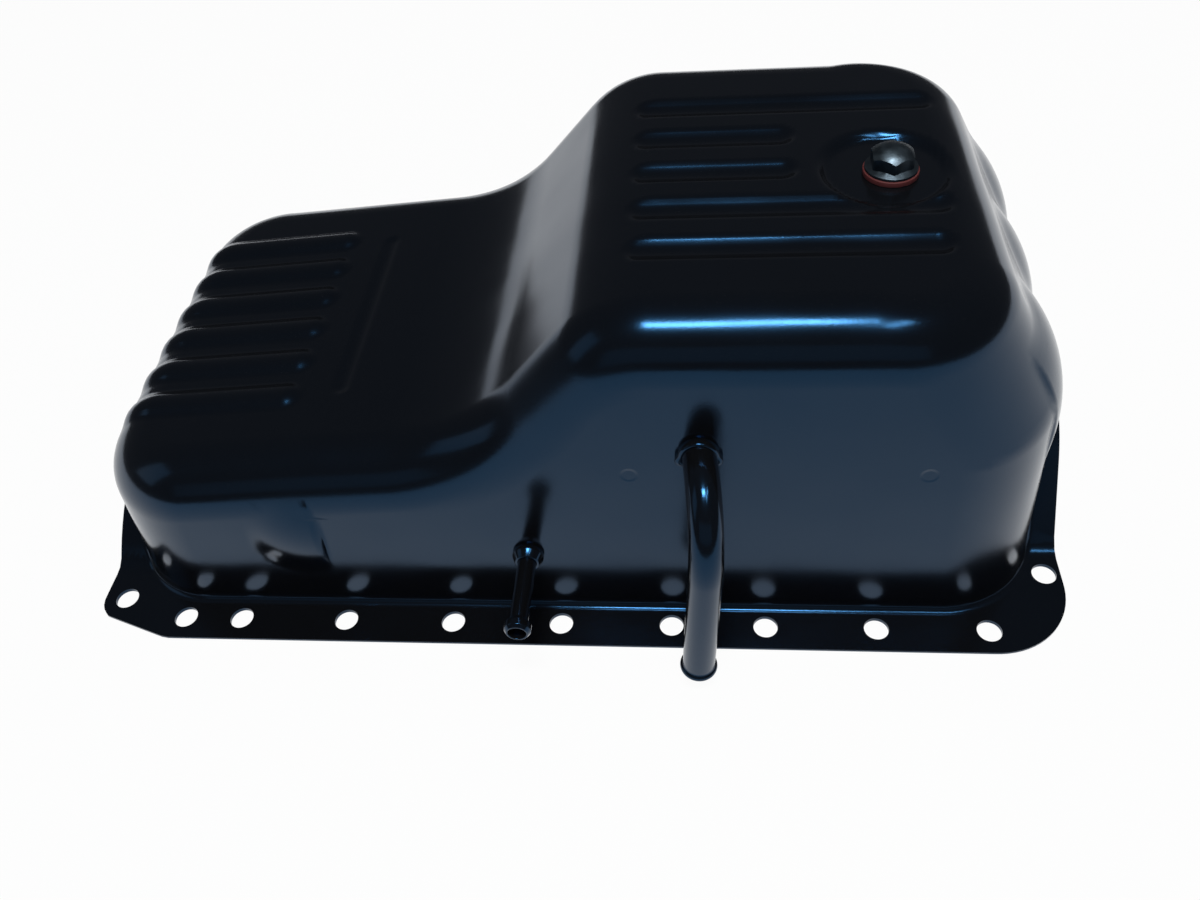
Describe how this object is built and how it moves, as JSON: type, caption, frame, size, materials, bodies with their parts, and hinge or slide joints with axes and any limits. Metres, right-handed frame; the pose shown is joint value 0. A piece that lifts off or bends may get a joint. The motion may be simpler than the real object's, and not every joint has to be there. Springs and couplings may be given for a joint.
{
  "type": "engine oil pan",
  "caption": "Stepped sheet-steel engine oil pan with a deep sump, shallow tray, arched bolting flange, drain plug, return tube and hose nipple.",
  "frame": {"origin": "middle of the bolt pattern in the gasket plane", "axes": "+Z from the gasket plane to the sump's floor, +X to the deep end, -Y to the side with the two pipes"},
  "size_m": [0.3765, 0.2388, 0.1429],
  "materials": {
    "black_paint": "gloss",
    "bare_steel": "satin",
    "red_fibre": "matt",
    "zinc_plate": "satin"
  },
  "bodies": {
    "pan": {"pan_shell": "black_paint", "drain_boss": "bare_steel", "return_tube": "black_paint", "return_tube_collar": "black_paint", "hose_nipple": "black_paint", "nipple_collar": "black_paint", "baffle_plate": "bare_steel"},
    "seal": {"drain_washer": "red_fibre"},
    "plug": {"drain_plug": "zinc_plate"}
  },
  "joints": [
    {"name": "plug_lift", "type": "slide", "parent": "pan", "child": "seal", "axis": [0, 0, 1], "range_m": [0, 0.01125]},
    {"name": "plug_turn", "type": "hinge", "parent": "seal", "child": "plug", "pos_m": [0.116, 0, 0.1344], "axis": [0, 0, 1], "range_deg": [0, 3250]}
  ],
  "couplings": [
    {"joint": "plug_turn", "follows": "plug_lift", "rad_per_m": 5026.5}
  ]
}
